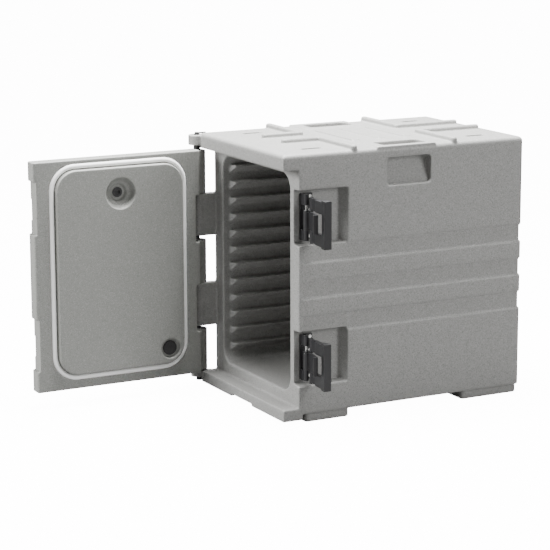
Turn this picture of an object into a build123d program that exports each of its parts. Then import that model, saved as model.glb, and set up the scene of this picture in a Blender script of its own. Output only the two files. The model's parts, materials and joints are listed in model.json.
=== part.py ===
from build123d import *
import math
import os

os.makedirs("parts", exist_ok=True)

# Insulated front-loading food carrier. Millimetres, +Z up.
# Built with the stile faces at y = 0, the door side towards -Y and the floor at z = 0,
# then moved so that the middle of the whole object's footprint is the origin.

# Body, outside
body_width = 432.0
body_depth = 605.0
body_top = 626.0
base_level = 21.0
skin = 4.5
foam_gap = 0.3
push_fit = 0.04
corner_radius = 5.0
stile_radius = 4.0
top_edge_radius = 10.0

# Lip above the door and sill below it
lip_reach = 40.0
lip_bottom = 590.0
sill_top = 36.0
sill_bottom = 8.0
sill_back = 11.0
sill_recess_width = 106.0
sill_recess_depth = 5.0
dimple_middle = (-203.0, -10.0)
dimple_length = 18.0
dimple_width = 9.0
dimple_depth = 5.0

# Pan cavity
cavity_width = 343.0
cavity_bottom = 65.0
cavity_top = 574.0
cavity_back = 550.0
cavity_corner = 36.0
mouth_round = 4.0
rail_pairs = 12
rail_pitch = 40.0
rail_top = 549.0
rail_reach = 16.0
rail_depth = 19.0
rail_front = 20.0

# Feet, and the ribs of the top that hold the feet of a carrier stacked on it
foot_inner = 62.0
front_foot = (19.0, 135.0)
rear_foot = (444.0, 602.0)
foot_radius = 10.0
rib_width = 16.0
rib_height = 11.0
rib_inset = 41.0
front_rib = (44.0, 138.0)
rear_rib = (423.0, 586.0)
bar_length = 184.0
bar_width = 20.0
bar_height = 4.0
bar_pitch = 70.0
bar_count = 3
bar_middle = 289.0
slot_length = 52.0
slot_width = 16.0
slot_depth = 8.0
slot_offset = 147.0
slot_middles = (69.0, 514.0)

# Side handles
grip_front = 231.0
grip_length = 118.0
grip_top = 602.0
grip_bottom = 537.0
grip_depth = 28.0
grip_floor_depth = 10.0
grip_corner = 9.0
pad_rise = 3.0
pad_inner = 130.0
pad_margin = 26.0
hand_well_inner = 145.0
hand_well_outer = 198.0
hand_well_floor = 610.0

# Shallow bands round the sides and back
band_depth = 3.5
band_height = 41.0
band_bottoms = (210.5, 292.0, 374.0)
band_front = 9.0

# Door
door_gap = 2.3
door_thickness = 37.0
door_side_gap = 1.5
door_end_gap = 2.5
door_open_angle = 90.0
door_skin = 4.0
plug_inset = 9.5
plug_rise = 14.0
plug_corner = 50.0
gasket_radius = 6.2
gasket_offset = 7.8
gasket_seat = -4.9
vent_height = 502.0
vent_dish_radius = 38.0
vent_dish_depth = 23.0
vent_hole_radius = 10.5
vent_flange_radius = 12.0
fill_x = -124.5
fill_height = 113.0
fill_well_radius = 25.0
fill_well_floor = 9.0
fill_plug_radius = 17.5
fill_head = 4.0
fill_stem_radius = 15.0
fill_stem_length = 9.0
cap_radius = 24.0
cap_well_radius = 28.0
cap_well_depth = 12.0
cap_seal = 2.0
vent_stem_radius = 7.0
door_edge_radius = 6.0
panel_half = 150.0
panel_margin = 55.0
panel_corner = 30.0
panel_depth = 1.5

# Hinge
hinge_outside = 8.5
hinge_ahead = 42.0
rod_radius = 5.0
running_fit = 0.08
knuckle_radius = 20.5
upper_ear = (lip_bottom + 6, body_top - 6)
lower_ear = (sill_top - 15, sill_top)
knuckle_spans = ((39.0, 142.0), (257.8, 363.0), (478.8, 583.0))
arm_spans = ((150.0, 257.0), (374.0, 478.0))
arm_inner = 11.0
washer_radius = 8.2
rod_head_radius = 7.0
rod_bottom = 12.0
rod_tab_length = 24.0

# Latches
latch_levels = {"upper": 475.0, "lower": 148.0}
pocket_depth = 26.0
pocket_length = 130.0
pocket_below = 61.0
pocket_above = 68.0
pocket_ramp = 15.0
pocket_draft = 3.0
pivot_outside = -8.5
pivot_back = 23.5
pivot_radius = 6.0
base_pin_radius = 2.5
base_thickness = 3.5
base_front = 14.5
base_back = 47.0
base_lift = 4.0
knuckle_inner = 28.7
knuckle_outer = 54.0
lever_drop = 1.6
hub_half = 22.8
cheek_radius = 7.0
cheek_thickness = 3.6
cam_radius = 6.2
cam_throw = 2.5
bar_out = 10.0
bar_back = 8.0
bar_radius = 4.5
bar_half = 53.5
arm_half = 51.5
arm_gap = 23.2
grip_half = 55.0
lever_reach = 88.5
lever_back = 16.5
lever_wall = 3.5
window_far = 73.0
link_length = 64.6
link_thickness = 3.5
link_offset = 3.5
link_eye_radius = 8.6
link_side_gap = 0.3
link_half = 22.3
link_wide_from = 17.0
link_lip = 6.0
link_tilt = -10.0
screw_radius = 2.1
screw_length = 7.5
keeper_recess = 7.0
keeper_hook_depth = 8.0
keeper_ledge = 5.0
keeper_side_gap = 2.5

half = body_width / 2
cavity_half = cavity_width / 2
hinge_x = -half - hinge_outside
hinge_y = -hinge_ahead
door_left = -half + door_side_gap
door_right = half - door_side_gap
door_inner = -door_gap
door_outer = door_inner - door_thickness
door_bottom = sill_top + door_end_gap
door_top = lip_bottom - door_end_gap
plug_half = cavity_half - plug_inset
pocket_floor = half - pocket_depth
pivot_x = half + pivot_outside
pivot_y = pivot_back


def block(x, y, z):
    """Box between the given (low, high) pairs."""
    low = Vector(x[0], y[0], z[0])
    high = Vector(x[1], y[1], z[1])
    size = high - low
    centre = (low + high) * 0.5
    return Pos(centre.X, centre.Y, centre.Z) * Box(size.X, size.Y, size.Z)


def rounded_block(x, y, z, axis, radius):
    """Box with its four edges along one axis rounded."""
    solid = block(x, y, z)
    return fillet(solid.edges().filter_by(axis), radius)


def post(x, y, z, radius):
    """Upright cylinder from z[0] to z[1]."""
    length = z[1] - z[0]
    return Pos(x, y, (z[0] + z[1]) / 2) * Cylinder(radius, length)


def prism(points, z):
    """Upright prism on an outline in the XY plane."""
    outline = make_face(Polyline(*points, close=True))
    return Pos(0, 0, z[0]) * extrude(outline, z[1] - z[0])


def mirrored(solid):
    """The same feature on the other side of the body."""
    return mirror(solid, Plane.YZ)


# Body

def outer_form():
    form = block((-half, half), (0, body_depth), (base_level, body_top))
    uprights = form.edges().filter_by(Axis.Z).sort_by(Axis.Y)
    form = fillet(uprights[:2], stile_radius)
    uprights = form.edges().filter_by(Axis.Z).sort_by(Axis.Y)
    form = fillet(uprights[-2:], corner_radius)
    lip = block((-half, half), (-lip_reach, corner_radius), (lip_bottom, body_top))
    sill = block((-half, half), (-lip_reach, sill_back), (sill_bottom, sill_top))
    form = form + lip + sill
    top = form.faces().sort_by(Axis.Z)[-1]
    return fillet(top.outer_wire().edges(), top_edge_radius)


def cavity():
    mouth = rounded_block(
        (-cavity_half, cavity_half), (-1, cavity_back), (cavity_bottom, cavity_top), Axis.Y, cavity_corner
    )
    back = mouth.faces().sort_by(Axis.Y)[-1]
    return fillet(back.outer_wire().edges(), cavity_corner / 2)


def rail(level):
    """Pan runner on the left wall: flat on top, sloping underneath, nose swept back."""
    wall = -cavity_half
    profile = make_face(
        Polyline(
            (wall - 1, level), (wall + rail_reach - 2, level), (wall + rail_reach, level - 2),
            (wall + rail_reach, level - 5), (wall, level - rail_depth), (wall - 1, level - rail_depth),
            close=True,
        )
    )
    length = cavity_back - rail_front + 1
    runner = extrude(Plane.XZ * profile, -length)
    runner = Pos(0, rail_front, 0) * runner
    nose = prism(
        [(wall, rail_front - 1), (wall + rail_reach + 2, rail_front - 1),
         (wall + rail_reach + 2, rail_front + 9)],
        (level - rail_depth - 1, level + 1),
    )
    return runner - nose


def pocket(level):
    """Recess for a latch in the right side, open to the front, with a ramp at its rear end."""
    low = level - pocket_below
    high = level + pocket_above
    plan = prism(
        [(pocket_floor, -1), (half + 1, -1), (half + 1, pocket_length),
         (pocket_floor, pocket_length - pocket_ramp)],
        (low - 1, high)
    )
    ledge = make_face(
        Polyline((pocket_floor - 1, low + pocket_draft), (half + 1, low), (half + 1, low - 2),
                 (pocket_floor - 1, low - 2), close=True)
    )
    ledge = extrude(Plane.XZ * ledge, -pocket_length - 2)
    return plan - Pos(0, -1, 0) * ledge


def side_grip():
    """Scoop under the right handle: deep at the top, running out at the bottom."""
    profile = make_face(
        Polyline(
            (half + 1, grip_top), (half - grip_depth, grip_top), (half - grip_depth, grip_top - 14),
            (half - grip_floor_depth, grip_bottom), (half + 1, grip_bottom), close=True,
        )
    )
    scoop = extrude(Plane.XZ * profile, -grip_length)
    scoop = Pos(0, grip_front, 0) * scoop
    return fillet(scoop.edges().filter_by(Axis.X), grip_corner)


def hand_pad():
    """Raised pad on top of the handle with a well for the fingertips."""
    front = grip_front - pad_margin
    back = grip_front + grip_length + pad_margin / 2
    pad = block((pad_inner, half - 1), (front, back), (body_top - 12, body_top + pad_rise))
    top = pad.faces().sort_by(Axis.Z)[-1]
    return fillet(top.outer_wire().edges(), 2.0)


def hand_well():
    well = rounded_block(
        (hand_well_inner, hand_well_outer), (grip_front, grip_front + grip_length),
        (hand_well_floor, body_top + pad_rise + 1), Axis.Z, 10.0
    )
    return well


def foot(span):
    x = (foot_inner, half - 3)
    solid = rounded_block(x, span, (0, base_level + 2), Axis.Z, foot_radius)
    sole = solid.faces().sort_by(Axis.Z)[0]
    return fillet(sole.outer_wire().edges(), 3.0)


def rib_bar(x, y):
    """Straight stacking rib with round ends and a round crown."""
    bar = rounded_block(x, y, (body_top - 3, body_top + rib_height), Axis.Z, rib_width / 2 - 0.2)
    crown = bar.faces().sort_by(Axis.Z)[-1]
    return fillet(crown.outer_wire().edges(), 5.0)


def stacking_ribs():
    """The two right-hand L-shaped ribs; the left-hand pair is their mirror image."""
    along = (rib_inset, rib_inset + rib_width)
    front_cross = (front_rib[1], front_rib[1] + rib_width)
    rear_cross = (rear_rib[0] - rib_width, rear_rib[0])
    ribs = [
        rib_bar(along, (front_rib[0], front_cross[1])),
        rib_bar((rib_inset, half - 1), front_cross),
        rib_bar(along, (rear_cross[0], rear_rib[1])),
        rib_bar((rib_inset, half - 1), rear_cross),
    ]
    return ribs


def grip_bar(index):
    """Flat raised bar across the middle of the top."""
    middle = bar_middle + (index - (bar_count - 1) / 2) * bar_pitch
    x = (-bar_length / 2, bar_length / 2)
    y = (middle - bar_width / 2, middle + bar_width / 2)
    return rounded_block(x, y, (body_top - 1, body_top + bar_height), Axis.Z, 2.0)


def drain_slot(middle):
    x = (slot_offset - slot_width / 2, slot_offset + slot_width / 2)
    y = (middle - slot_length / 2, middle + slot_length / 2)
    return rounded_block(x, y, (body_top - slot_depth, body_top + 1), Axis.Z, 3.0)


def side_band(bottom):
    """Shallow band cut round both sides and the back."""
    z = (bottom, bottom + band_height)
    ring = block((-half - 1, half + 1), (band_front, body_depth + 1), z)
    core = block((-half + band_depth, half - band_depth), (0, body_depth - band_depth), z)
    return ring - core


def sill_dimple():
    """Small drain hollow in the sill's top beside the hinge."""
    x = (dimple_middle[0] - dimple_length / 2, dimple_middle[0] + dimple_length / 2)
    y = (dimple_middle[1] - dimple_width / 2, dimple_middle[1] + dimple_width / 2)
    return rounded_block(x, y, (sill_top - dimple_depth, sill_top + 1), Axis.Z, dimple_width / 2 - 0.1)


def hinge_lug(z, fill):
    """Round lug about the hinge axis, carried by the body's left front corner."""
    lug = post(hinge_x, hinge_y, z, knuckle_radius)
    web = prism(fill, z)
    return lug + web


def arm_outline():
    """Plan of the web between a hinge lug and the stile's corner."""
    right = -half + arm_inner
    return [(hinge_x, hinge_y), (right, hinge_y), (right, 2), (-half, 2), (hinge_x, -6)]


def ear_outline():
    """Plan of the web between a hinge lug and the end of the lip or the sill."""
    inside = -half + 2
    return [(hinge_x, hinge_y), (inside, hinge_y + 2), (inside, -6), (hinge_x, hinge_y + knuckle_radius)]


def build_body_shell():
    form = outer_form()
    form += [foot(front_foot), foot(rear_foot), mirrored(foot(front_foot)), mirrored(foot(rear_foot))]
    for bottom in band_bottoms:
        form -= side_band(bottom)
    form += [hand_pad(), mirrored(hand_pad())]
    ribs = stacking_ribs()
    form += ribs + [mirrored(rib) for rib in ribs]
    form += [grip_bar(index) for index in range(bar_count)]
    slots = [drain_slot(middle) for middle in slot_middles]
    form -= slots + [mirrored(slot) for slot in slots]
    form -= [hand_well(), mirrored(hand_well()), side_grip(), mirrored(side_grip())]
    form -= block((-sill_recess_width / 2, sill_recess_width / 2), (-lip_reach - 1, sill_back + 1),
                  (sill_bottom - 1, sill_bottom + sill_recess_depth))
    form -= sill_dimple()
    for level in latch_levels.values():
        form -= pocket(level)
    form -= cavity()
    mouth = [
        edge for edge in form.edges()
        if abs(edge.center().Y) < 0.01 and abs(edge.center().X) < cavity_half + 1
        and cavity_bottom - 1 < edge.center().Z < cavity_top + 1
    ]
    form = fillet(mouth, mouth_round)
    rails = [rail(rail_top - index * rail_pitch) for index in range(rail_pairs)]
    form += rails + [mirrored(one) for one in rails]
    for span in arm_spans:
        form += hinge_lug(span, arm_outline())
    form += hinge_lug(upper_ear, ear_outline())
    form += hinge_lug(lower_ear, ear_outline())
    form -= post(hinge_x, hinge_y, (-10, body_top + 10), rod_radius + running_fit)
    form -= foam_space(0.0)
    return form


def foam_space(gap):
    """Space between the outer and inner skins, shrunk by a gap all round."""
    wall = skin + gap
    outer = block(
        (-half + wall + band_depth, half - wall - band_depth), (wall, body_depth - wall - band_depth),
        (base_level + wall, body_top - wall)
    )
    inner = block(
        (-cavity_half - wall, cavity_half + wall), (-1, cavity_back + wall),
        (cavity_bottom - wall, cavity_top + wall)
    )
    mouth_keep = block(
        (-cavity_half - mouth_round - wall, cavity_half + mouth_round + wall), (-1, mouth_round + wall),
        (cavity_bottom - mouth_round - wall, cavity_top + mouth_round + wall)
    )
    space = outer - inner - mouth_keep
    for level in latch_levels.values():
        space -= block((pocket_floor - wall, half), (-1, pocket_length + wall),
                       (level - pocket_below - wall, level + pocket_above + wall))
    handle_keep = block(
        (hand_well_inner - wall, half), (grip_front - wall, grip_front + grip_length + wall),
        (grip_bottom - wall, body_top)
    )
    space -= [handle_keep, mirrored(handle_keep)]
    for middle in slot_middles:
        keep = block(
            (slot_offset - slot_width / 2 - wall, slot_offset + slot_width / 2 + wall),
            (middle - slot_length / 2 - wall, middle + slot_length / 2 + wall),
            (body_top - slot_depth - wall, body_top)
        )
        space -= [keep, mirrored(keep)]
    well = (fill_well_radius + wall, fill_well_floor + wall)
    stem = (fill_stem_radius + wall, fill_well_floor + fill_stem_length + wall)
    for radius, height in (well, stem):
        space -= post(0, body_depth / 2, (base_level - 1, base_level + height), radius)
    return space


def fill_bore():
    """Well and hole for the fill plug, opening towards -Z from z = 0."""
    well = post(0, 0, (-1, fill_well_floor), fill_well_radius)
    hole = post(0, 0, (0, fill_well_floor + fill_stem_length + 0.5), fill_stem_radius + push_fit)
    return well + hole


def fill_plug():
    """Push-in plug that closes the foam port, its head at the bottom of the well."""
    head = post(0, 0, (fill_well_floor - fill_head, fill_well_floor), fill_plug_radius)
    head = fillet(head.edges().sort_by(Axis.Z)[0], 1.2)
    stem = post(0, 0, (fill_well_floor - 1, fill_well_floor + fill_stem_length), fill_stem_radius)
    return head + stem


def body_port():
    return Pos(0, body_depth / 2, base_level)


# Door, modelled closed

def opened(solid):
    """Turn a piece of the closed door to the open position."""
    return Pos(hinge_x, hinge_y) * Rot(0, 0, -door_open_angle) * Pos(-hinge_x, -hinge_y) * solid


def facing_cavity(x, z, y):
    """Place that turns +Z of a turned shape into -Y, into the door from its inner face."""
    return Pos(x, y, z) * Rot(90, 0, 0)


def keeper_recess_cut(level):
    """Notch in the free edge beside a latch, with a ledge in the outer face for the latch's hook."""
    floor = door_right - keeper_recess
    notch = block((floor, door_right + 1), (door_outer - 1, door_inner + 1),
                  (level - pocket_below + 3, level + pocket_above))
    reach = link_half + keeper_side_gap
    middle = level - lever_drop
    ledge = block((floor - keeper_hook_depth, floor + 1), (door_outer - 1, door_outer + keeper_ledge),
                  (middle - reach, middle + reach))
    return notch + ledge


def knuckle(z):
    """Door half of the hinge: a barrel on the rod, carried by a neck from the door's edge."""
    barrel = post(hinge_x, hinge_y, z, knuckle_radius)
    root = door_left + 12
    neck = prism(
        [(hinge_x, hinge_y - knuckle_radius), (root, door_outer), (root, door_inner - 6),
         (hinge_x, hinge_y + knuckle_radius)], z
    )
    return barrel + neck


def gasket_ring(radius):
    """Round bead, half sunk in the door's flange, that runs along the foot of the plug."""
    width = 2 * (plug_half + gasket_offset)
    height = cavity_top - cavity_bottom - 2 * plug_inset + 2 * gasket_offset
    middle = (cavity_top + cavity_bottom) / 2
    plane = Plane(origin=(0, gasket_seat, middle), x_dir=(1, 0, 0), z_dir=(0, -1, 0))
    outline = plane * RectangleRounded(width, height, plug_corner + gasket_offset)
    path = outline.face().outer_wire()
    section = Plane(origin=path @ 0, z_dir=path % 0) * Circle(radius)
    return sweep(section, path)


def vent_dish():
    """Stepped bowl in the inner face and a round recess in the outer face, joined by the vent hole."""
    face = door_inner + plug_rise
    depth = vent_dish_depth
    profile = make_face(
        Polyline((0, -1), (vent_dish_radius, -1), (vent_dish_radius, 0), (vent_dish_radius - 8, depth - 9),
                 (vent_dish_radius - 16, depth - 6), (vent_dish_radius - 20, depth), (0, depth), close=True)
    )
    bowl = revolve(Plane.XZ * profile, Axis.Z)
    bowl = facing_cavity(0, vent_height, face) * bowl
    depth = plug_rise + door_thickness + 1
    through = facing_cavity(0, vent_height, face) * post(0, 0, (0, depth), vent_hole_radius)
    cap_well = facing_cavity(0, vent_height, door_outer) * post(0, 0, (-cap_well_depth, 1), cap_well_radius)
    return bowl + through + cap_well


def door_hollow(gap):
    """Space for the door's foam between its skins, shrunk by a gap all round."""
    wall = door_skin + gap
    edge = door_right - keeper_recess - keeper_hook_depth - wall
    left = hinge_x + knuckle_radius + 2 + wall
    slab = block((left, edge), (door_outer + wall, door_inner - wall), (door_bottom + wall, door_top - wall))
    plug = block(
        (-plug_half + plug_corner / 2, plug_half - plug_corner / 2),
        (door_outer + wall, door_inner + plug_rise - wall),
        (cavity_bottom + plug_corner / 2, cavity_top - plug_corner / 2)
    )
    space = slab + plug
    space -= gasket_ring(gasket_radius + wall)
    face = door_inner + plug_rise
    space -= facing_cavity(0, vent_height, face) * post(0, 0, (-1, 80), vent_dish_radius + wall)
    well = (fill_well_radius + wall, fill_well_floor + wall)
    stem = (fill_stem_radius + wall, fill_well_floor + fill_stem_length + wall)
    for radius, height in (well, stem):
        space -= facing_cavity(fill_x, fill_height, face) * post(0, 0, (-1, height), radius)
    return space


def build_door_shell():
    slab = block((door_left, door_right), (door_outer, door_inner), (door_bottom, door_top))
    slab = fillet(slab.edges().filter_by(Axis.Z), door_edge_radius)
    slab = fillet(slab.faces().sort_by(Axis.Y)[0].outer_wire().edges(), 1.5)
    plug = rounded_block(
        (-plug_half, plug_half), (door_inner - 8, door_inner + plug_rise),
        (cavity_bottom + plug_inset, cavity_top - plug_inset), Axis.Y, plug_corner
    )
    plug = fillet(plug.faces().sort_by(Axis.Y)[-1].outer_wire().edges(), 3.0)
    form = slab + plug
    gaps = zip(knuckle_spans[:-1], knuckle_spans[1:])
    for below, above in gaps:
        form -= block((door_left - 1, hinge_x + knuckle_radius + 2), (door_outer - 1, door_inner + 1),
                      (below[1], above[0]))
    form += [knuckle(span) for span in knuckle_spans]
    form -= post(hinge_x, hinge_y, (0, body_top), rod_radius + running_fit)
    for level in latch_levels.values():
        form -= keeper_recess_cut(level)
    panel = rounded_block(
        (-panel_half, panel_half), (door_outer - 1, door_outer + panel_depth),
        (door_bottom + panel_margin, door_top - panel_margin), Axis.Y, panel_corner
    )
    form -= panel
    form -= gasket_ring(gasket_radius + foam_gap)
    form -= vent_dish()
    form -= facing_cavity(fill_x, fill_height, door_inner + plug_rise) * fill_bore()
    form -= door_hollow(0.0)
    return form


def vent_bush():
    """Sleeve through the door with a flange at the bottom of the bowl."""
    start = vent_dish_depth
    end = plug_rise + door_thickness - cap_well_depth
    sleeve = post(0, 0, (start, end), vent_hole_radius - push_fit)
    bore = post(0, 0, (start - 3, end + 1), vent_stem_radius + running_fit)
    flange = post(0, 0, (start - 2, start), vent_flange_radius)
    return facing_cavity(0, vent_height, door_inner + plug_rise) * (sleeve + flange - bore)


def vent_cap():
    """Turning cap of the vent: disc with a grip bar outside, slotted stem inside the sleeve."""
    seat = plug_rise + door_thickness - cap_well_depth
    disc = post(0, 0, (seat + cap_seal + 0.3, seat + cap_seal + 4.3), cap_radius)
    grip = rounded_block((-cap_radius + 3, cap_radius - 3), (-4, 4),
                         (seat + cap_seal + 3, seat + cap_well_depth - 0.5), Axis.Z, 3.5)
    stem = post(0, 0, (vent_dish_depth + 1, seat + cap_seal + 2), vent_stem_radius)
    slot = block((-vent_stem_radius, vent_stem_radius), (-1.2, 1.2), (vent_dish_depth, vent_dish_depth + 5))
    return facing_cavity(0, vent_height, door_inner + plug_rise) * (disc + grip + stem - slot)


def vent_seal():
    """Flat washer between the vent cap and the bottom of its recess."""
    seat = plug_rise + door_thickness - cap_well_depth
    ring = post(0, 0, (seat, seat + cap_seal), cap_radius - 2)
    ring -= post(0, 0, (seat - 1, seat + 3), vent_hole_radius)
    return facing_cavity(0, vent_height, door_inner + plug_rise) * ring


# Hinge hardware

def hinge_rod():
    """Straight rod through every lug and barrel, with a flat retaining tab at its top."""
    rod = post(hinge_x, hinge_y, (rod_bottom, upper_ear[1] + 6), rod_radius)
    tab = rounded_block(
        (hinge_x - 2.5, hinge_x + 2.5), (hinge_y, hinge_y + rod_tab_length),
        (upper_ear[1] + 2.5, upper_ear[1] + 5.5), Axis.Z, 2.0
    )
    return rod + tab


def hinge_bush():
    """Tapered collar that grips the rod on top of the upper lug."""
    cone = Pos(hinge_x, hinge_y, upper_ear[1] + 1.25) * Cone(rod_radius + 1, rod_head_radius, 2.5)
    return cone - post(hinge_x, hinge_y, (lip_bottom, body_top + 10), rod_radius + push_fit)


def hinge_washer(z):
    ring = post(hinge_x, hinge_y, z, washer_radius)
    ring = chamfer(ring.edges(), 0.6)
    return ring - post(hinge_x, hinge_y, (z[0] - 1, z[1] + 1), rod_radius + running_fit)


def rod_end_cap():
    """Cap pushed over the rod's lower end, under the lower lug."""
    cap = post(hinge_x, hinge_y, (rod_bottom - 2, lower_ear[0] - 0.3), rod_head_radius)
    cap = fillet(cap.edges().sort_by(Axis.Z)[0], 1.5)
    return cap - post(hinge_x, hinge_y, (rod_bottom, lower_ear[0] + 1), rod_radius + push_fit)


# Latches, modelled open about the pivot

def both_ends(low, high):
    """The (low, high) span and its mirror image below the middle."""
    return ((low, high), (-high, -low))


def bridge(first, first_radius, second, second_radius, z):
    """Upright plate round two posts, with straight sides between them."""
    dx = second[0] - first[0]
    dy = second[1] - first[1]
    length = math.hypot(dx, dy)
    across = (-dy / length, dx / length)
    points = [
        (first[0] + across[0] * first_radius, first[1] + across[1] * first_radius),
        (second[0] + across[0] * second_radius, second[1] + across[1] * second_radius),
        (second[0] - across[0] * second_radius, second[1] - across[1] * second_radius),
        (first[0] - across[0] * first_radius, first[1] - across[1] * first_radius),
    ]
    return post(*first, z, first_radius) + post(*second, z, second_radius) + prism(points, z)


def screw_places():
    places = []
    for height in (14.0, 46.0):
        places += [height, -height]
    return places


def latch_base():
    """Plate on the pocket's floor with two barrels for the lever's pin."""
    floor = pocket_floor - pivot_x
    form = rounded_block((floor, floor + base_thickness), (base_front - pivot_y, base_back - pivot_y),
                         (-knuckle_outer, knuckle_outer), Axis.X, 3.0)
    for z in both_ends(knuckle_inner, knuckle_outer):
        form += post(0, 0, z, pivot_radius)
        form += block((floor + 1, 0), (-pivot_radius, pivot_radius - 2), z)
    form -= post(0, 0, (-60, 60), base_pin_radius + push_fit)
    for height in screw_places():
        form -= screw(height, push_fit)
    return form


def screw(height, gap):
    """Countersunk screw through the base plate into the pocket's skin."""
    face = pocket_floor + base_thickness - pivot_x
    shank = post(0, 0, (-screw_length, 0), screw_radius + gap)
    head = Pos(0, 0, -1.25) * Cone(screw_radius + gap, 2 * screw_radius + gap, 2.5)
    place = Pos(face, base_back - 6 - pivot_y, height) * Rot(0, 90, 0)
    return place * (shank + head)


def latch_screws():
    screws = []
    for height in screw_places():
        face = pocket_floor + base_thickness - pivot_x
        cross = block((face - 1.0, face + 0.1), (base_back - 8.5 - pivot_y, base_back - 3.5 - pivot_y),
                      (height - 0.4, height + 0.4))
        screws.append(screw(height, 0.0) - cross)
    return screws


def latch_pin():
    return post(0, 0, (-knuckle_outer, knuckle_outer), base_pin_radius)


def latch_lever():
    """Lever: cam on the pin, cheeks, cross bar, two arms round a window, and a grip at the tip."""
    bar = (bar_out, bar_back)
    form = post(cam_throw, 0, (-hub_half, hub_half), cam_radius)
    arm = [(12, 5.5), (36, 5.5), (39, 1), (lever_reach, -2), (lever_reach, 1.5), (41, 4.5), (38, 9), (12, 9)]
    inner_wall = [(12, 6), (38, 6), (41, 2), (window_far + 1, 0), (window_far + 1, 10), (12, 10)]
    outer_wall = [(12, 6), (38, 6), (41, 2), (lever_reach - 1, 0), (lever_reach - 1, 14), (30, 14), (24, 12),
                  (12, 12)]
    grip_wall = [(70, 0), (lever_reach, -2), (lever_reach, lever_back), (84, lever_back), (70, 11)]
    for z in both_ends(hub_half - cheek_thickness, hub_half):
        form += bridge((0, 0), cheek_radius, bar, bar_radius, z)
    for z in both_ends(hub_half - 1, bar_half):
        form += post(*bar, z, bar_radius)
    for z in both_ends(arm_gap, arm_half):
        form += prism(arm, z)
    for z in both_ends(arm_gap, arm_gap + lever_wall - 0.7):
        form += prism(inner_wall, z)
    for z in both_ends(arm_half - lever_wall, arm_half):
        form += prism(outer_wall, z)
    for z in both_ends(arm_half - 0.5, grip_half):
        form += prism(grip_wall, z)
    tip_bar = [(window_far, -1), (lever_reach, -2), (lever_reach, 1.5), (window_far, 2.5)]
    form += prism(tip_bar, (-grip_half, grip_half))
    form += block((window_far, window_far + 3), (0, 10), (-arm_gap - 1, arm_gap + 1))
    tip = (lever_reach - lever_wall, lever_reach)
    form += rounded_block(tip, (-2, lever_back), (-grip_half, grip_half), Axis.X, 1.6)
    form -= post(0, 0, (-60, 60), base_pin_radius + running_fit)
    return form


def link_flat():
    """Hook link about its eye, pointing along +X, its lip towards -Y."""
    eye_half = hub_half - cheek_thickness - link_side_gap
    low = link_offset - link_thickness / 2
    high = link_offset + link_thickness / 2
    form = post(0, 0, (-eye_half, eye_half), link_eye_radius)
    form += block((0, link_wide_from + 1), (low, high), (-eye_half, eye_half))
    form += block((link_wide_from, link_length), (low, high), (-link_half, link_half))
    form += block((link_length - link_thickness, link_length), (-link_lip, high), (-link_half, link_half))
    return form - post(0, 0, (-60, 60), cam_radius + running_fit)


def latch_link():
    return Pos(cam_throw, 0, 0) * Rot(0, 0, link_tilt) * link_flat()


# The whole carrier

def build_parts():
    parts = {}
    shell = build_body_shell()
    shell -= body_port() * fill_bore()
    for level in latch_levels.values():
        for height in screw_places():
            shell -= Pos(pivot_x, pivot_y, level + base_lift) * screw(height, push_fit)
    parts["body_shell"] = shell
    parts["body_foam"] = foam_space(foam_gap)
    parts["body_fill_plug"] = body_port() * fill_plug()
    parts["hinge_rod"] = hinge_rod()
    parts["hinge_collar"] = hinge_bush()
    parts["hinge_washer_upper"] = hinge_washer((knuckle_spans[-1][1] + 0.3, upper_ear[0] - 0.3))
    parts["hinge_washer_lower"] = hinge_washer((sill_top + 0.2, knuckle_spans[0][0] - 0.3))
    parts["hinge_end_cap"] = rod_end_cap()
    for name, level in latch_levels.items():
        fixed = Pos(pivot_x, pivot_y, level + base_lift)
        swung = Pos(pivot_x, pivot_y, level - lever_drop)
        parts[f"latch_{name}_base"] = fixed * latch_base()
        parts[f"latch_{name}_screws"] = Compound(children=[fixed * one for one in latch_screws()])
        parts[f"latch_{name}_pin"] = fixed * latch_pin()
        parts[f"latch_{name}_lever"] = swung * latch_lever()
        parts[f"latch_{name}_link"] = swung * latch_link()
    parts["door_shell"] = opened(build_door_shell())
    parts["door_foam"] = opened(door_hollow(foam_gap))
    parts["door_gasket"] = opened(gasket_ring(gasket_radius))
    door_port = facing_cavity(fill_x, fill_height, door_inner + plug_rise)
    parts["door_fill_plug"] = opened(door_port * fill_plug())
    parts["vent_bush"] = opened(vent_bush())
    parts["vent_seal"] = opened(vent_seal())
    parts["vent_cap"] = opened(vent_cap())
    return parts


def to_origin(parts):
    """Move from the middle of the footprint of the whole object to the origin."""
    boxes = [part.bounding_box() for part in parts.values()]
    middle_x = (min(b.min.X for b in boxes) + max(b.max.X for b in boxes)) / 2
    middle_y = (min(b.min.Y for b in boxes) + max(b.max.Y for b in boxes)) / 2
    return Pos(-middle_x, -middle_y, 0)


if __name__ == "__main__":
    parts = build_parts()
    place = to_origin(parts)
    print("moved by", place.position)
    for name, part in parts.items():
        export_step(place * part, f"parts/{name}.step")
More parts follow.
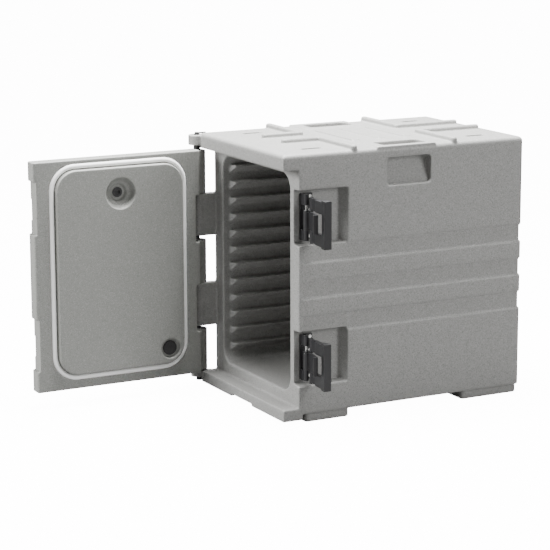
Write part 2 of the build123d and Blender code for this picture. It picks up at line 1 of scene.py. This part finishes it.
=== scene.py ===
import bpy
import json
import math
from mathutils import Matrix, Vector

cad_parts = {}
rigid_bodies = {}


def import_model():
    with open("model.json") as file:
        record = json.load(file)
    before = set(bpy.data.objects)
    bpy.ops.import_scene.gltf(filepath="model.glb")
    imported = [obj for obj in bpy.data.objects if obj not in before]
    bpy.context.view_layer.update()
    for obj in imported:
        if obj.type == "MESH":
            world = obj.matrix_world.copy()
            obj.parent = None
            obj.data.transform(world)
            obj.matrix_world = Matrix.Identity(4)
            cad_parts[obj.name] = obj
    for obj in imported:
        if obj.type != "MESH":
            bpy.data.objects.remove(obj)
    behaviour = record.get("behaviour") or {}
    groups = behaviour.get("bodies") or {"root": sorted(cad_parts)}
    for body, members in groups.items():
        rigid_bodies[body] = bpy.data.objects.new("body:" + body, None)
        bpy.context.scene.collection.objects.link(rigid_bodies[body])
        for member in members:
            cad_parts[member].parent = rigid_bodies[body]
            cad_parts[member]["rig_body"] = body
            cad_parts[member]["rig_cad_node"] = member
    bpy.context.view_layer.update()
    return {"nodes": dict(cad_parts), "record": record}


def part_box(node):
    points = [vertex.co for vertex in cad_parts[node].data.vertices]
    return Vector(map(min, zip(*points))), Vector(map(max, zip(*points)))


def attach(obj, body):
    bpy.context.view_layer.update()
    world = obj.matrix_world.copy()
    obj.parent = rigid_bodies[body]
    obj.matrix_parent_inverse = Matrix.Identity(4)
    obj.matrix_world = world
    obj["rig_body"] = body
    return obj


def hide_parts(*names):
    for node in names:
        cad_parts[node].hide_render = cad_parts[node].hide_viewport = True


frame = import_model()
nodes = frame["nodes"]
print("frame loaded:", len(nodes), "nodes")


def deselectAll():
    if bpy.context.mode != "OBJECT":
        bpy.ops.object.mode_set(mode="OBJECT")
    bpy.ops.object.select_all(action="DESELECT")


def makeActive(obj):
    deselectAll()
    obj.select_set(True)
    bpy.context.view_layer.objects.active = obj


def applyModifiers(obj):
    makeActive(obj)
    for modifier in list(obj.modifiers):
        bpy.ops.object.modifier_apply(modifier=modifier.name)


def extent(obj):
    spots = [v.co for v in obj.data.vertices]
    return sum(max(p[i] for p in spots) - min(p[i] for p in spots) for i in range(3))


def bodyOf(nodeName):
    for body, members in frame["record"]["behaviour"]["bodies"].items():
        if nodeName in members:
            return body


def slotOf(nodeName):
    for entry in frame["record"]["subparts"]:
        if entry["node"] == nodeName:
            return entry["material_slot"]


def finishPiece(obj, name, material, nodeNames):
    # names the piece, gives it its finish and lets it stand for its CAD nodes
    obj.name = name
    obj.data.name = name
    obj.data.materials.clear()
    obj.data.materials.append(material)
    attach(obj, bodyOf(nodeNames[0]))
    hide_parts(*nodeNames)
    return obj


deselectAll()

camera = {"place": (4.26353, -2.26697, 1.31355), "turn": (78.250, 0.1587, 62.2089), "lens": 136.68}
bpy.ops.object.camera_add(location=camera["place"], rotation=[math.radians(a) for a in camera["turn"]])
cam = bpy.context.object
cam.data.lens = camera["lens"]
cam.data.sensor_width = 36.0
cam.data.clip_start = 0.05
cam.data.clip_end = 60.0
bpy.context.scene.camera = cam
print("camera placed")


# soft studio: bright room, big overhead light, one from the open front, a weaker one on the latch side
studio = {
    "room": 0.22,
    "overhead": {"place": (-0.15, 0.2, 2.7), "size": 1.2, "power": 470.0},
    "front": {"place": (-0.7, -3.1, 1.8), "size": 1.4, "power": 235.0},
    "side": {"place": (2.6, 1.2, 1.4), "size": 1.2, "power": 50.0},
    "aim": (0.0, 0.1, 0.3),
}

world = bpy.data.worlds.new("studioRoom")
bpy.context.scene.world = world
world.use_nodes = True
roomNodes = world.node_tree.nodes
roomNodes["Background"].inputs["Color"].default_value = (1.0, 1.0, 1.0, 1.0)
roomNodes["Background"].inputs["Strength"].default_value = studio["room"]


def softLight(name):
    values = studio[name]
    aim = Vector(studio["aim"]) - Vector(values["place"])
    turn = aim.to_track_quat("-Z", "Y").to_euler()
    bpy.ops.object.light_add(type="AREA", location=values["place"], rotation=turn)
    light = bpy.context.object
    light.name = name + "Light"
    light.data.shape = "SQUARE"
    light.data.size = values["size"]
    light.data.energy = values["power"]
    return light


for lightName in ("overhead", "front", "side"):
    softLight(lightName)
print("lights placed")


def newGroup(name, inputs, outputs):
    group = bpy.data.node_groups.new(name, "ShaderNodeTree")
    for label, kind, value in inputs:
        socket = group.interface.new_socket(name=label, in_out="INPUT", socket_type=kind)
        if value is not None:
            socket.default_value = value
    for label, kind in outputs:
        group.interface.new_socket(name=label, in_out="OUTPUT", socket_type=kind)
    enter = group.nodes.new("NodeGroupInput")
    leave = group.nodes.new("NodeGroupOutput")
    return group, enter, leave


def addNode(tree, kind, **values):
    node = tree.nodes.new(kind)
    for key, value in values.items():
        setattr(node, key, value)
    return node


def addMath(tree, operation, first, second=0.5, clamp=False):
    node = addNode(tree, "ShaderNodeMath", operation=operation, use_clamp=clamp)
    for place, value in ((0, first), (1, second)):
        if hasattr(value, "links"):
            tree.links.new(value, node.inputs[place])
        else:
            node.inputs[place].default_value = value
    return node.outputs[0]


def addRamp(tree, source, stops):
    ramp = addNode(tree, "ShaderNodeValToRGB")
    while len(ramp.color_ramp.elements) < len(stops):
        ramp.color_ramp.elements.new(0.5)
    for element, (place, grey) in zip(ramp.color_ramp.elements, stops):
        element.position = place
        element.color = (grey, grey, grey, 1.0)
    tree.links.new(source, ramp.inputs["Fac"])
    return ramp.outputs["Color"]


def addMix(tree, amount, first, second, blend="MIX"):
    mix = addNode(tree, "ShaderNodeMix", data_type="RGBA", blend_type=blend)
    for label, value in (("Factor", amount), ("A", first), ("B", second)):
        sockets = [s for s in mix.inputs if s.name == label and s.enabled]
        socket = sockets[0]
        if hasattr(value, "links"):
            tree.links.new(value, socket)
        elif isinstance(value, tuple):
            socket.default_value = (*value, 1.0)
        else:
            socket.default_value = value
    return [s for s in mix.outputs if s.enabled][0]


def makeFleckGroup():
    # stone-like flecks of dark and light powder in one colour of plastic
    group, enter, leave = newGroup(
        "stoneFlecks",
        [("Base", "NodeSocketColor", None), ("Fleck size", "NodeSocketFloat", 420.0),
         ("Strength", "NodeSocketFloat", 1.0)],
        [("Color", "NodeSocketColor"), ("Fleck", "NodeSocketFloat")],
    )
    coords = addNode(group, "ShaderNodeTexCoord")
    fine = addNode(group, "ShaderNodeTexNoise")
    fine.inputs["Detail"].default_value = 3.0
    fine.inputs["Roughness"].default_value = 0.65
    group.links.new(coords.outputs["Object"], fine.inputs["Vector"])
    group.links.new(enter.outputs["Fleck size"], fine.inputs["Scale"])
    cells = addNode(group, "ShaderNodeTexVoronoi", feature="F1")
    group.links.new(coords.outputs["Object"], cells.inputs["Vector"])
    group.links.new(addMath(group, "MULTIPLY", enter.outputs["Fleck size"], 1.5), cells.inputs["Scale"])
    cellColour = addNode(group, "ShaderNodeSeparateColor")
    group.links.new(cells.outputs["Color"], cellColour.inputs["Color"])
    darkDot = addRamp(group, cellColour.outputs["Red"], [(0.0, 1.0), (0.13, 1.0), (0.16, 0.0)])
    lightDot = addRamp(group, cellColour.outputs["Green"], [(0.84, 0.0), (0.88, 1.0)])
    cloud = addRamp(group, fine.outputs["Fac"], [(0.3, 0.86), (0.7, 1.12)])
    toned = addMix(group, 1.0, enter.outputs["Base"], cloud, "MULTIPLY")
    dark = addMix(group, addMath(group, "MULTIPLY", darkDot, 0.42), toned, (0.045, 0.045, 0.045))
    light = addMix(group, addMath(group, "MULTIPLY", lightDot, 0.20), dark, (0.62, 0.62, 0.60))
    chosen = addMix(group, enter.outputs["Strength"], enter.outputs["Base"], light)
    group.links.new(chosen, leave.inputs["Color"])
    group.links.new(fine.outputs["Fac"], leave.inputs["Fleck"])
    return group


def makeGrainGroup():
    # pebbled mould surface, with slow waviness of a big rotomoulded wall
    group, enter, leave = newGroup(
        "mouldGrain",
        [("Grain size", "NodeSocketFloat", 700.0), ("Grain depth", "NodeSocketFloat", 0.00012),
         ("Wave depth", "NodeSocketFloat", 0.0004)],
        [("Normal", "NodeSocketVector"), ("Grain", "NodeSocketFloat")],
    )
    coords = addNode(group, "ShaderNodeTexCoord")
    grain = addNode(group, "ShaderNodeTexNoise")
    grain.inputs["Detail"].default_value = 2.0
    group.links.new(coords.outputs["Object"], grain.inputs["Vector"])
    group.links.new(enter.outputs["Grain size"], grain.inputs["Scale"])
    wave = addNode(group, "ShaderNodeTexNoise")
    wave.inputs["Scale"].default_value = 9.0
    wave.inputs["Detail"].default_value = 1.0
    group.links.new(coords.outputs["Object"], wave.inputs["Vector"])
    slow = addNode(group, "ShaderNodeBump")
    slow.inputs["Strength"].default_value = 1.0
    group.links.new(enter.outputs["Wave depth"], slow.inputs["Distance"])
    group.links.new(wave.outputs["Fac"], slow.inputs["Height"])
    fast = addNode(group, "ShaderNodeBump")
    fast.inputs["Strength"].default_value = 1.0
    group.links.new(enter.outputs["Grain depth"], fast.inputs["Distance"])
    group.links.new(grain.outputs["Fac"], fast.inputs["Height"])
    group.links.new(slow.outputs["Normal"], fast.inputs["Normal"])
    group.links.new(fast.outputs["Normal"], leave.inputs["Normal"])
    group.links.new(grain.outputs["Fac"], leave.inputs["Grain"])
    return group


def makeWearAndHighlightGroup():
    # rubbed, slightly paler convex edges: partly edge wear, partly a painted highlight along the convex
    # edges
    group, enter, leave = newGroup(
        "rubbedAndHighlitEdges",
        [("Color", "NodeSocketColor", None), ("Worn", "NodeSocketColor", None),
         ("Amount", "NodeSocketFloat", 0.5)],
        [("Color", "NodeSocketColor"), ("Edge", "NodeSocketFloat")],
    )
    shape = addNode(group, "ShaderNodeNewGeometry")
    # pointiness picks the convex edges, which are lightened as a painted highlight and broken up in
    # wear-like patches
    edge = addRamp(group, shape.outputs["Pointiness"], [(0.51, 0.0), (0.58, 1.0)])
    coords = addNode(group, "ShaderNodeTexCoord")
    patches = addNode(group, "ShaderNodeTexNoise")
    patches.inputs["Scale"].default_value = 60.0
    patches.inputs["Detail"].default_value = 4.0
    group.links.new(coords.outputs["Object"], patches.inputs["Vector"])
    broken = addRamp(group, patches.outputs["Fac"], [(0.35, 0.35), (0.6, 1.0)])
    patchy = addMath(group, "MULTIPLY", edge, broken)
    mask = addMath(group, "MULTIPLY", patchy, enter.outputs["Amount"], True)
    rubbedAndHighlit = addMix(group, mask, enter.outputs["Color"], enter.outputs["Worn"])
    group.links.new(rubbedAndHighlit, leave.inputs["Color"])
    group.links.new(mask, leave.inputs["Edge"])
    return group


fleckGroup = makeFleckGroup()
grainGroup = makeGrainGroup()
wearAndHighlightGroup = makeWearAndHighlightGroup()


def placeGroup(tree, group, **values):
    node = addNode(tree, "ShaderNodeGroup", node_tree=group)
    for label, value in values.items():
        node.inputs[label.replace("_", " ")].default_value = value
    return node


def plasticMaterial(name, colour, wornAndHighlit, fleck, fleckSize, grainSize, grainDepth, waveDepth, wearAndHighlight,
                    roughness, specular):
    material = bpy.data.materials.new(name)
    material.use_nodes = True
    tree = material.node_tree
    shader = tree.nodes["Principled BSDF"]
    flecks = placeGroup(tree, fleckGroup, Base=(*colour, 1.0), Fleck_size=fleckSize, Strength=fleck)
    # paler convex edges: partly wear, partly a painted highlight
    edges = placeGroup(tree, wearAndHighlightGroup, Worn=(*wornAndHighlit, 1.0), Amount=wearAndHighlight)
    grain = placeGroup(tree, grainGroup, Grain_size=grainSize, Grain_depth=grainDepth, Wave_depth=waveDepth)
    tree.links.new(flecks.outputs["Color"], edges.inputs["Color"])
    tree.links.new(edges.outputs["Color"], shader.inputs["Base Color"])
    tree.links.new(grain.outputs["Normal"], shader.inputs["Normal"])
    uneven = addNode(tree, "ShaderNodeMapRange")
    uneven.inputs["To Min"].default_value = roughness[0]
    uneven.inputs["To Max"].default_value = roughness[1]
    tree.links.new(grain.outputs["Grain"], uneven.inputs["Value"])
    tree.links.new(uneven.outputs["Result"], shader.inputs["Roughness"])
    shader.inputs["Specular IOR Level"].default_value = specular
    return material


# the worn colours are the paler edge colours, partly wear and partly a painted highlight on convex edges
finishes = {
    "body": dict(
        colour=(0.232, 0.231, 0.223), wornAndHighlit=(0.42, 0.42, 0.40), fleck=0.75, fleckSize=420.0,
        grainSize=800.0, grainDepth=0.00010, waveDepth=0.0005, wearAndHighlight=0.5, roughness=(0.46, 0.66),
        specular=0.42,
    ),
    "door": dict(
        colour=(0.215, 0.218, 0.204), wornAndHighlit=(0.40, 0.40, 0.38), fleck=0.65, fleckSize=460.0,
        grainSize=900.0, grainDepth=0.00007, waveDepth=0.0005, wearAndHighlight=0.5, roughness=(0.42, 0.60),
        specular=0.42,
    ),
    "nylon": dict(
        colour=(0.009, 0.009, 0.010), wornAndHighlit=(0.06, 0.06, 0.06), fleck=0.05, fleckSize=1500.0,
        grainSize=2600.0, grainDepth=0.00003, waveDepth=0.00003, wearAndHighlight=0.5, roughness=(0.30, 0.48),
        specular=0.5,
    ),
    "rodNylon": dict(
        colour=(0.012, 0.012, 0.012), wornAndHighlit=(0.05, 0.05, 0.05), fleck=0.2, fleckSize=1500.0,
        grainSize=2200.0, grainDepth=0.00004, waveDepth=0.00003, wearAndHighlight=0.5, roughness=(0.42, 0.60),
        specular=0.45,
    ),
    "silicone": dict(
        colour=(0.90, 0.90, 0.885), wornAndHighlit=(0.86, 0.86, 0.85), fleck=0.0, fleckSize=900.0,
        grainSize=1600.0, grainDepth=0.00003, waveDepth=0.0001, wearAndHighlight=0.2, roughness=(0.38, 0.52),
        specular=0.45,
    ),
}
bodyPlastic = plasticMaterial("stoneGreyBody", **finishes["body"])
doorPlastic = plasticMaterial("stoneGreyDoor", **finishes["door"])
blackNylon = plasticMaterial("blackNylon", **finishes["nylon"])
rodNylon = plasticMaterial("blackRod", **finishes["rodNylon"])
whiteSilicone = plasticMaterial("whiteSilicone", **finishes["silicone"])


def steelMaterial():
    material = bpy.data.materials.new("brushedSteel")
    material.use_nodes = True
    tree = material.node_tree
    shader = tree.nodes["Principled BSDF"]
    shader.inputs["Base Color"].default_value = (0.60, 0.60, 0.58, 1.0)
    shader.inputs["Metallic"].default_value = 1.0
    coords = addNode(tree, "ShaderNodeTexCoord")
    stretch = addNode(tree, "ShaderNodeMapping")
    stretch.inputs["Scale"].default_value = (1.0, 1.0, 0.06)
    lines = addNode(tree, "ShaderNodeTexNoise")
    lines.inputs["Scale"].default_value = 3000.0
    tree.links.new(coords.outputs["Object"], stretch.inputs["Vector"])
    tree.links.new(stretch.outputs["Vector"], lines.inputs["Vector"])
    uneven = addNode(tree, "ShaderNodeMapRange")
    uneven.inputs["To Min"].default_value = 0.18
    uneven.inputs["To Max"].default_value = 0.36
    tree.links.new(lines.outputs["Fac"], uneven.inputs["Value"])
    tree.links.new(uneven.outputs["Result"], shader.inputs["Roughness"])
    return material


brushedSteel = steelMaterial()


def foamMaterial():
    material = bpy.data.materials.new("foamCore")
    material.use_nodes = True
    tree = material.node_tree
    shader = tree.nodes["Principled BSDF"]
    coords = addNode(tree, "ShaderNodeTexCoord")
    cells = addNode(tree, "ShaderNodeTexVoronoi")
    cells.inputs["Scale"].default_value = 900.0
    tree.links.new(coords.outputs["Object"], cells.inputs["Vector"])
    tint = addMix(tree, cells.outputs["Distance"], (0.72, 0.62, 0.38), (0.82, 0.74, 0.52))
    tree.links.new(tint, shader.inputs["Base Color"])
    shader.inputs["Roughness"].default_value = 0.9
    return material


foamCore = foamMaterial()

slotFinish = {
    "polyethylene_body": bodyPlastic, "polyethylene_door": doorPlastic, "foam": foamCore,
    "plug_nylon": rodNylon, "hinge_nylon": rodNylon, "hinge_rod": rodNylon, "latch_nylon": blackNylon,
    "latch_steel": brushedSteel, "gasket": whiteSilicone, "vent_nylon": rodNylon,
}
for name, obj in nodes.items():
    for slot in obj.material_slots:
        slot.material = slotFinish[slotOf(name)]
print("finishes assigned")


def mirrorLowerHalf(obj, height):
    # keeps what lies below the height and puts its mirror image above
    makeActive(obj)
    bpy.ops.object.mode_set(mode="EDIT")
    bpy.ops.mesh.select_all(action="SELECT")
    bpy.ops.mesh.bisect(plane_co=(0.0, 0.0, height), plane_no=(0.0, 0.0, 1.0), clear_outer=True)
    bpy.ops.object.mode_set(mode="OBJECT")
    bpy.ops.object.empty_add(location=(0.0, 0.0, height))
    middle = bpy.context.object
    mirror = obj.modifiers.new("upperHalf", "MIRROR")
    mirror.use_axis = (False, False, True)
    mirror.mirror_object = middle
    mirror.merge_threshold = 0.00001
    applyModifiers(obj)
    bpy.data.objects.remove(middle)


def mouldedCopy(nodeName, pieceName, material, cell, soften, faces, mirrorHeight=None):
    # a moulded skin over the node's outer surface: even cells, softened edges, then fewer faces on the flats
    makeActive(nodes[nodeName])
    bpy.ops.object.duplicate()
    obj = bpy.context.object
    obj.parent = None
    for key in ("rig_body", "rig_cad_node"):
        if key in obj:
            del obj[key]
    makeActive(obj)
    bpy.ops.object.mode_set(mode="EDIT")
    bpy.ops.mesh.select_all(action="SELECT")
    bpy.ops.mesh.remove_doubles(threshold=0.00001)
    bpy.ops.mesh.separate(type="LOOSE")
    bpy.ops.object.mode_set(mode="OBJECT")
    shells = sorted(bpy.context.selected_objects, key=extent)
    obj = shells.pop()
    for shell in shells:
        bpy.data.objects.remove(shell)
    if mirrorHeight is not None:
        mirrorLowerHalf(obj, mirrorHeight)
    makeActive(obj)
    remesh = obj.modifiers.new("evenCells", "REMESH")
    remesh.mode = "VOXEL"
    remesh.voxel_size = cell
    smooth = obj.modifiers.new("softEdges", "SMOOTH")
    smooth.factor = 0.5
    smooth.iterations = soften
    applyModifiers(obj)
    total = sum(len(p.vertices) - 2 for p in obj.data.polygons)
    if total > faces:
        thin = obj.modifiers.new("fewerFaces", "DECIMATE")
        thin.ratio = faces / total
    weights = obj.modifiers.new("flatShading", "WEIGHTED_NORMAL")
    weights.mode = "FACE_AREA"
    weights.weight = 60
    bpy.ops.object.shade_smooth()
    applyModifiers(obj)
    finishPiece(obj, pieceName, material, [nodeName])
    print(pieceName, total, "->", len(obj.data.polygons))
    return obj


skins = {
    "body": {"node": "body_shell", "material": bodyPlastic, "cell": 0.0021, "soften": 2, "faces": 194000},
    "door": {"node": "door_shell", "material": doorPlastic, "cell": 0.0015, "soften": 2, "faces": 160000},
}
for skinName, skin in skins.items():
    mouldedCopy(skin["node"], skinName + "Skin", skin["material"], skin["cell"], skin["soften"],
                skin["faces"])
latchSkin = {"cell": 0.0006, "soften": 2, "faces": 45000}
for level in ("upper", "lower"):
    for part in ("base", "link"):
        mouldedCopy(f"latch_{level}_{part}", f"{level}{part.title()}", blackNylon, **latchSkin)
    # the lever's lower arm is copied upwards, because its node has no upper arm
    low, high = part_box(f"latch_{level}_lever")
    middle = (low[2] + high[2]) / 2
    mouldedCopy(f"latch_{level}_lever", f"{level}Lever", blackNylon, **latchSkin, mirrorHeight=middle)
print("moulded skins made")


floorLook = {"size": 40.0, "height": -0.0005, "grey": 0.20, "glow": 14.0}


def makeFloor():
    # a grey floor that bounces little light, with a glow that only the camera sees
    bpy.ops.mesh.primitive_plane_add(size=floorLook["size"], location=(0.0, 0.0, floorLook["height"]))
    floor = bpy.context.object
    floor.name = "studioFloor"
    material = bpy.data.materials.new("paleFloor")
    material.use_nodes = True
    tree = material.node_tree
    shader = tree.nodes["Principled BSDF"]
    shader.inputs["Base Color"].default_value = (*[floorLook["grey"]] * 3, 1.0)
    shader.inputs["Roughness"].default_value = 0.9
    shader.inputs["Specular IOR Level"].default_value = 0.1
    shader.inputs["Emission Color"].default_value = (1.0, 1.0, 1.0, 1.0)
    ray = addNode(tree, "ShaderNodeLightPath")
    glow = addMath(tree, "MULTIPLY", ray.outputs["Is Camera Ray"], floorLook["glow"])
    tree.links.new(glow, shader.inputs["Emission Strength"])
    floor.data.materials.append(material)


makeFloor()
print("floor made")
